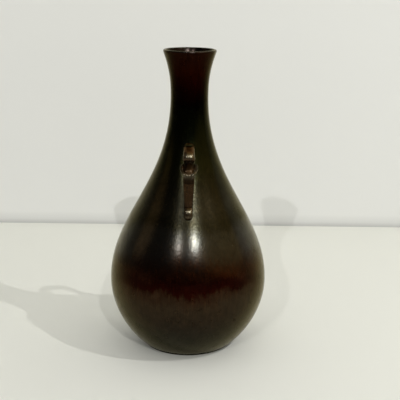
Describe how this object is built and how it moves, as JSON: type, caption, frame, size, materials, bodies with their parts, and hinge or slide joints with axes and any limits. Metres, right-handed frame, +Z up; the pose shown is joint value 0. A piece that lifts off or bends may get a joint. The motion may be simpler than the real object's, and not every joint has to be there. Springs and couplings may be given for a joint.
{
  "type": "vase",
  "caption": "Pear-shaped bronze flower vase with a tall flared neck and a small loop handle at the front and the rear.",
  "frame": {"origin": "middle of the foot, on the surface that the vase stands on", "axes": "+Z up along the vase's axis, -Y towards the front handle, +X to the right seen from the front"},
  "size_m": [0.137, 0.137, 0.26],
  "materials": {
    "body": "satin",
    "base_plate": "satin",
    "handles": "satin",
    "pins": "satin"
  },
  "bodies": {
    "root": {"body": "body", "base_plate": "base_plate", "front_handle": "handles", "rear_handle": "handles", "front_upper_pin": "pins", "front_lower_pin": "pins", "rear_upper_pin": "pins", "rear_lower_pin": "pins"}
  },
  "joints": []
}
